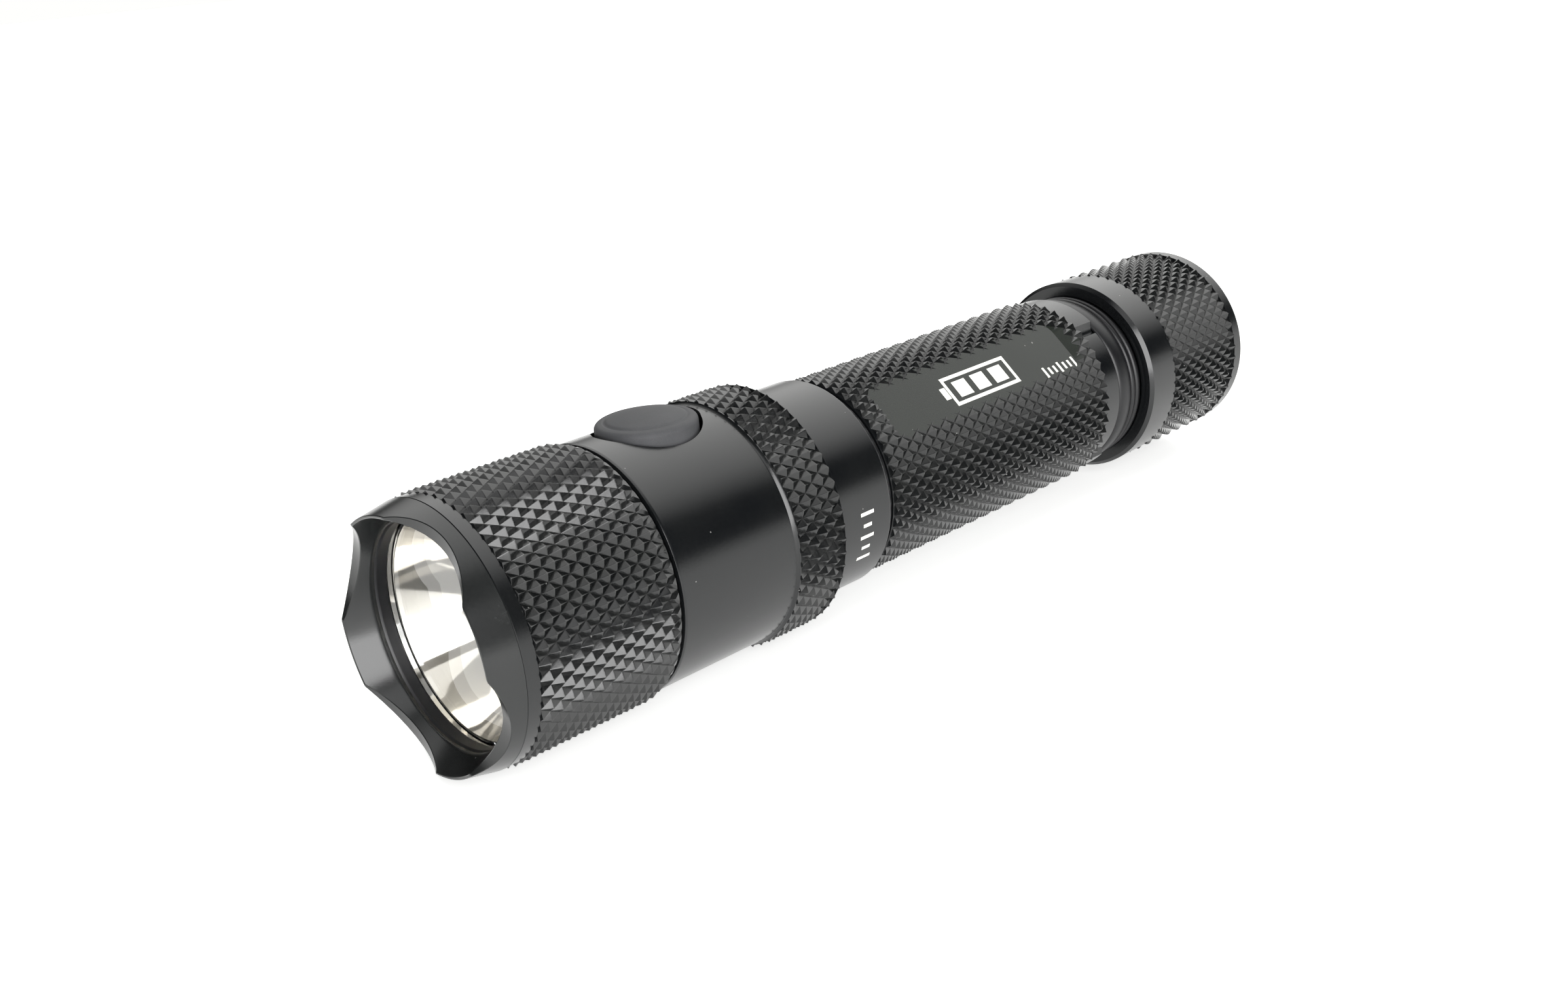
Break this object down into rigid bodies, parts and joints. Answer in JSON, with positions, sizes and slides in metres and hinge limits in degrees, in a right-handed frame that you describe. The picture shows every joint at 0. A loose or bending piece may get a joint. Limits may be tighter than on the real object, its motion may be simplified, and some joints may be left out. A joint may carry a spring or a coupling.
{
  "type": "tactical flashlight",
  "caption": "Compact single-cell tactical flashlight: knurled head with scalloped bezel, side switch, battery tube with milled panel, screw-on tail cap.",
  "frame": {"origin": "centre of the tail cap's flat end, on the light's axis", "axes": "+X along the optical axis out of the bezel, +Z out through the side switch, +Y to the light's left seen from behind with the switch up"},
  "size_m": [0.1, 0.0226, 0.023],
  "materials": {
    "anodised_aluminium": "satin black hard anodising, sharp machined diamond knurl",
    "dark_rubber": "matte dark grey silicone",
    "black_seal": "black O-ring rubber, slightly oiled",
    "lens_glass": "clear toughened glass with polished edge",
    "mirror_metal": "smooth vacuum-metallised mirror",
    "white_gasket": "white insulating plastic",
    "emitter_ceramic": "white ceramic package",
    "emitter_silicone": "clear silicone dome over yellow phosphor",
    "copper_metal": "bare copper, lightly tarnished",
    "board_white": "white solder mask on metal core board",
    "board_green": "green solder mask on glass-fibre board",
    "electronics_black": "black moulded electronic components",
    "carrier_plastic": "grey-black moulded nylon",
    "lead_insulation": "red silicone-covered wire",
    "contact_brass": "turned brass",
    "spring_steel": "nickel-plated spring wire",
    "switch_metal": "stamped steel switch cover",
    "cell_wrap": "shrink-wrapped cell, plain blue",
    "cell_steel": "nickel-plated steel"
  },
  "bodies": {
    "head": {"bezel_ring": "anodised_aluminium", "lens_oring": "black_seal", "lens": "lens_glass", "reflector": "mirror_metal", "head_shell": "anodised_aluminium", "head_oring": "black_seal", "centring_gasket": "white_gasket", "emitter_dome": "emitter_silicone", "led_emitter": "emitter_ceramic", "led_board": "board_white", "heat_pill": "copper_metal", "led_leads": "lead_insulation", "switch_housing": "anodised_aluminium", "button_rim": "dark_rubber", "switch_carrier": "carrier_plastic", "switch_board": "board_green", "tactile_switch": "switch_metal", "switch_leads": "lead_insulation", "driver_components": "electronics_black", "driver_board": "board_green", "driver_ring": "contact_brass", "driver_contact": "contact_brass"},
    "side_button": {"rubber_button": "dark_rubber", "button_actuator": "carrier_plastic", "switch_stem": "electronics_black"},
    "cell": {"cell_can": "cell_wrap", "cell_nipple": "cell_steel"},
    "battery_tube": {"battery_tube": "anodised_aluminium", "neck_oring": "black_seal", "tail_oring_front": "black_seal", "tail_oring_rear": "black_seal"},
    "contact_spring": {"tail_spring": "spring_steel"},
    "tail_cap": {"tail_cap": "anodised_aluminium", "tail_board": "board_green", "tail_ring": "contact_brass"}
  },
  "joints": [
    {"name": "button_press", "type": "slide", "parent": "head", "child": "side_button", "axis": [0, 0, -1], "range_m": [0, 0.0006], "stiffness_N_per_m": 1500, "springref_m": -0.0006},
    {"name": "tube_travel", "type": "slide", "parent": "head", "child": "cell", "axis": [-1, 0, 0], "range_m": [0, 0.004]},
    {"name": "tube_turn", "type": "hinge", "parent": "cell", "child": "battery_tube", "pos_m": [0.0573, 0, 0], "axis": [-1, 0, 0], "range_deg": [0, 1440]},
    {"name": "cap_travel", "type": "slide", "parent": "battery_tube", "child": "contact_spring", "axis": [-1, 0, 0], "range_m": [0, 0.007]},
    {"name": "cap_turn", "type": "hinge", "parent": "contact_spring", "child": "tail_cap", "pos_m": [0.0091, 0, 0], "axis": [-1, 0, 0], "range_deg": [0, 2520]}
  ],
  "couplings": [
    {"joint": "tube_turn", "follows": "tube_travel", "rad_per_m": 6283.2},
    {"joint": "cap_turn", "follows": "cap_travel", "rad_per_m": 6283.2}
  ]
}
